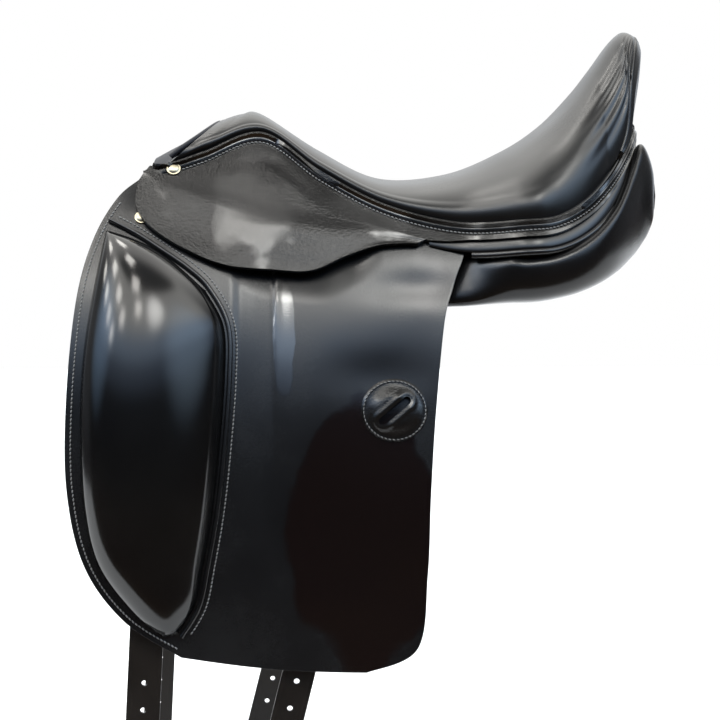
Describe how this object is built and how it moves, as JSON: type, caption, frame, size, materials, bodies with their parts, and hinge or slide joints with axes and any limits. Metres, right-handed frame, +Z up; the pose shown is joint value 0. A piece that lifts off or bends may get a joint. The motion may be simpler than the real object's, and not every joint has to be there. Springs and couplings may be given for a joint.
{
  "type": "dressage saddle",
  "caption": "Black leather dressage saddle with a deep seat, high cantle, single long flaps, large outside knee blocks, hinged stirrup bar catches and hanging girth straps.",
  "frame": {"origin": "on the horse's spine line below the seat, at the height where the rear panels bear", "axes": "+X to the cantle, +Y to the horse's right, +Z up; the pictured near side is -Y"},
  "size_m": [0.5306, 0.4054, 0.749],
  "materials": {
    "seat_leather": "smooth black leather, satin to glossy",
    "grain_leather": "black leather with a fine grain, waxed",
    "welt_leather": "thin black leather rolled over a cord, glossy",
    "strap_leather": "thick black bridle leather with dyed edges",
    "beech_ply": "moulded beech plywood, sealed",
    "spring_steel": "plain steel",
    "bar_steel": "forged stainless steel, brushed",
    "web_tape": "woven cotton and nylon web",
    "foam": "firm foam",
    "nail_brass": "pale polished brass"
  },
  "bodies": {
    "saddle": {"tree_head": "beech_ply", "tree_rail_left": "beech_ply", "tree_rail_right": "beech_ply", "tree_cantle": "beech_ply", "cantle_plate": "beech_ply", "head_plate": "spring_steel", "head_lining": "seat_leather", "head_rivets": "spring_steel", "seat_webbing": "web_tape", "seat_foam": "foam", "seat_cover": "seat_leather", "cantle_back": "seat_leather", "pommel_facing": "welt_leather", "pommel_front": "seat_leather", "seat_welt_left": "welt_leather", "seat_welt_right": "welt_leather", "skirt_left": "grain_leather", "skirt_right": "grain_leather", "cantle_band": "grain_leather", "panel_welt": "welt_leather", "panel_left": "seat_leather", "panel_right": "seat_leather", "gullet_lining": "seat_leather", "stirrup_bar_left": "bar_steel", "stirrup_bar_right": "bar_steel", "bar_rivets_left": "spring_steel", "bar_rivets_right": "spring_steel", "catch_pin_left": "spring_steel", "catch_pin_right": "spring_steel", "head_nail_left": "nail_brass", "head_nail_right": "nail_brass", "strap_webs": "web_tape", "strap_rivets": "spring_steel"},
    "flap_left": {"flap_left": "grain_leather", "knee_core_left": "foam", "knee_cover_left": "seat_leather", "knee_welt_left": "welt_leather", "keeper_left": "grain_leather", "flap_nail_left": "nail_brass"},
    "lobe_left": {"skirt_lobe_left": "grain_leather"},
    "catch_left": {"stirrup_catch_left": "bar_steel"},
    "strap_front_left": {"strap_front_left": "strap_leather"},
    "strap_rear_left": {"strap_rear_left": "strap_leather"},
    "flap_right": {"flap_right": "grain_leather", "knee_core_right": "foam", "knee_cover_right": "seat_leather", "knee_welt_right": "welt_leather", "keeper_right": "grain_leather", "flap_nail_right": "nail_brass"},
    "lobe_right": {"skirt_lobe_right": "grain_leather"},
    "catch_right": {"stirrup_catch_right": "bar_steel"},
    "strap_front_right": {"strap_front_right": "strap_leather"},
    "strap_rear_right": {"strap_rear_right": "strap_leather"}
  },
  "joints": [
    {"name": "flap_lift_left", "type": "hinge", "parent": "saddle", "child": "flap_left", "pos_m": [-0.195, -0.07416, 0.118], "axis": [-0.9587, 0.1516, 0.2406], "range_deg": [0, 35]},
    {"name": "skirt_lift_left", "type": "hinge", "parent": "flap_left", "child": "lobe_left", "pos_m": [-0.195, -0.07416, 0.118], "axis": [-0.9587, 0.1516, 0.2406], "range_deg": [0, 60]},
    {"name": "catch_turn_left", "type": "hinge", "parent": "saddle", "child": "catch_left", "pos_m": [-0.075, -0.08551, 0.0811], "axis": [0, -0.8461, 0.533], "range_deg": [0, 80]},
    {"name": "strap_swing_front_left", "type": "hinge", "parent": "saddle", "child": "strap_front_left", "pos_m": [-0.176, -0.09802, 0.056], "axis": [0, -0.8461, 0.533], "range_deg": [-6, 6]},
    {"name": "strap_swing_rear_left", "type": "hinge", "parent": "saddle", "child": "strap_rear_left", "pos_m": [0.025, -0.11336, 0.03], "axis": [0, -0.884, 0.4675], "range_deg": [-6, 6]},
    {"name": "flap_lift_right", "type": "hinge", "parent": "saddle", "child": "flap_right", "pos_m": [-0.195, 0.07416, 0.118], "axis": [0.9587, 0.1516, -0.2406], "range_deg": [0, 35]},
    {"name": "skirt_lift_right", "type": "hinge", "parent": "flap_right", "child": "lobe_right", "pos_m": [-0.195, 0.07416, 0.118], "axis": [0.9587, 0.1516, -0.2406], "range_deg": [0, 60]},
    {"name": "catch_turn_right", "type": "hinge", "parent": "saddle", "child": "catch_right", "pos_m": [-0.075, 0.08551, 0.0811], "axis": [0, -0.8461, -0.533], "range_deg": [0, 80]},
    {"name": "strap_swing_front_right", "type": "hinge", "parent": "saddle", "child": "strap_front_right", "pos_m": [-0.176, 0.09802, 0.056], "axis": [0, 0.8461, 0.533], "range_deg": [-6, 6]},
    {"name": "strap_swing_rear_right", "type": "hinge", "parent": "saddle", "child": "strap_rear_right", "pos_m": [0.025, 0.11336, 0.03], "axis": [0, 0.884, 0.4675], "range_deg": [-6, 6]}
  ]
}
